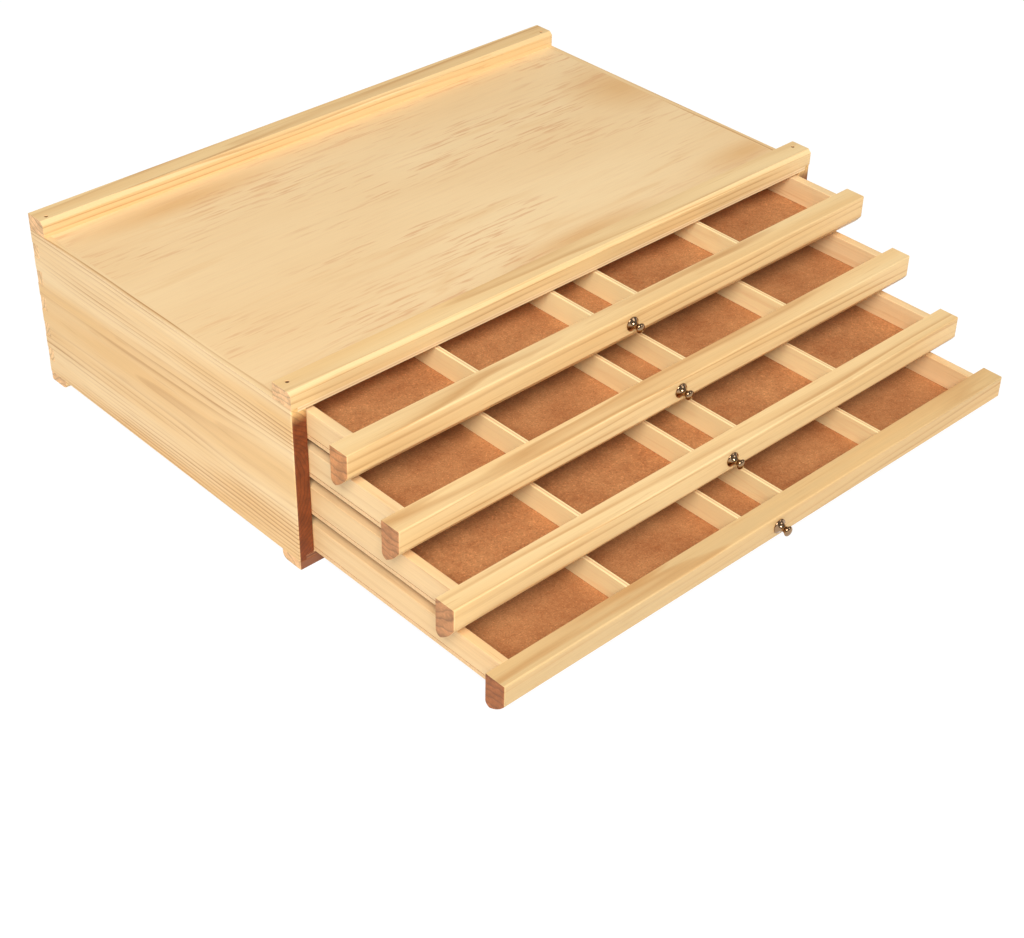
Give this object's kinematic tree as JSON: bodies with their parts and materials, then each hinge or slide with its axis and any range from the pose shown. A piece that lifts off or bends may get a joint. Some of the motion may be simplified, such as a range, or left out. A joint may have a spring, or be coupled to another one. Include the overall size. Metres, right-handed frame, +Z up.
{
  "type": "pastel drawer box",
  "caption": "Low pine box with shallow sliding drawers, each split into long compartments, with small metal knobs and a railed top.",
  "frame": {"origin": "middle of the front foot's underside, on the ground", "axes": "+X to the right, +Y to the back, along which the drawers slide, and +Z up"},
  "size_m": [0.4, 0.411, 0.1137],
  "materials": {
    "case_pine": "satin",
    "moulding_pine": "satin",
    "drawer_pine": "satin",
    "plywood": "satin",
    "hardboard": "satin",
    "nickel": "polished",
    "steel": "zinc plated"
  },
  "bodies": {
    "case": {"case_left_side": "case_pine", "case_right_side": "case_pine", "case_back": "case_pine", "case_top_panel": "plywood", "case_bottom_panel": "plywood", "front_rail": "moulding_pine", "rear_rail": "moulding_pine", "front_foot": "moulding_pine", "rear_foot": "moulding_pine", "rail_brads": "steel", "runner_left_1": "case_pine", "runner_right_1": "case_pine", "runner_left_2": "case_pine", "runner_right_2": "case_pine", "runner_left_3": "case_pine", "runner_right_3": "case_pine"},
    "drawer_1": {"drawer_1_front": "moulding_pine", "drawer_1_left_side": "drawer_pine", "drawer_1_right_side": "drawer_pine", "drawer_1_back": "drawer_pine", "drawer_1_bottom": "hardboard", "drawer_1_divider_1": "drawer_pine", "drawer_1_divider_2": "drawer_pine", "drawer_1_divider_3": "drawer_pine", "drawer_1_divider_4": "drawer_pine", "drawer_1_knob": "nickel", "drawer_1_knob_screw": "steel"},
    "drawer_2": {"drawer_2_front": "moulding_pine", "drawer_2_left_side": "drawer_pine", "drawer_2_right_side": "drawer_pine", "drawer_2_back": "drawer_pine", "drawer_2_bottom": "hardboard", "drawer_2_divider_1": "drawer_pine", "drawer_2_divider_2": "drawer_pine", "drawer_2_divider_3": "drawer_pine", "drawer_2_divider_4": "drawer_pine", "drawer_2_knob": "nickel", "drawer_2_knob_screw": "steel"},
    "drawer_3": {"drawer_3_front": "moulding_pine", "drawer_3_left_side": "drawer_pine", "drawer_3_right_side": "drawer_pine", "drawer_3_back": "drawer_pine", "drawer_3_bottom": "hardboard", "drawer_3_divider_1": "drawer_pine", "drawer_3_divider_2": "drawer_pine", "drawer_3_divider_3": "drawer_pine", "drawer_3_divider_4": "drawer_pine", "drawer_3_knob": "nickel", "drawer_3_knob_screw": "steel"},
    "drawer_4": {"drawer_4_front": "moulding_pine", "drawer_4_left_side": "drawer_pine", "drawer_4_right_side": "drawer_pine", "drawer_4_back": "drawer_pine", "drawer_4_bottom": "hardboard", "drawer_4_divider_1": "drawer_pine", "drawer_4_divider_2": "drawer_pine", "drawer_4_divider_3": "drawer_pine", "drawer_4_divider_4": "drawer_pine", "drawer_4_knob": "nickel", "drawer_4_knob_screw": "steel"}
  },
  "joints": [
    {"name": "drawer_1_slide", "type": "slide", "parent": "case", "child": "drawer_1", "axis": [0, -1, 0], "range_m": [-0.03, 0.1397]},
    {"name": "drawer_2_slide", "type": "slide", "parent": "case", "child": "drawer_2", "axis": [0, -1, 0], "range_m": [-0.0687, 0.101]},
    {"name": "drawer_3_slide", "type": "slide", "parent": "case", "child": "drawer_3", "axis": [0, -1, 0], "range_m": [-0.1089, 0.0608]},
    {"name": "drawer_4_slide", "type": "slide", "parent": "case", "child": "drawer_4", "axis": [0, -1, 0], "range_m": [-0.1452, 0.0245]}
  ]
}
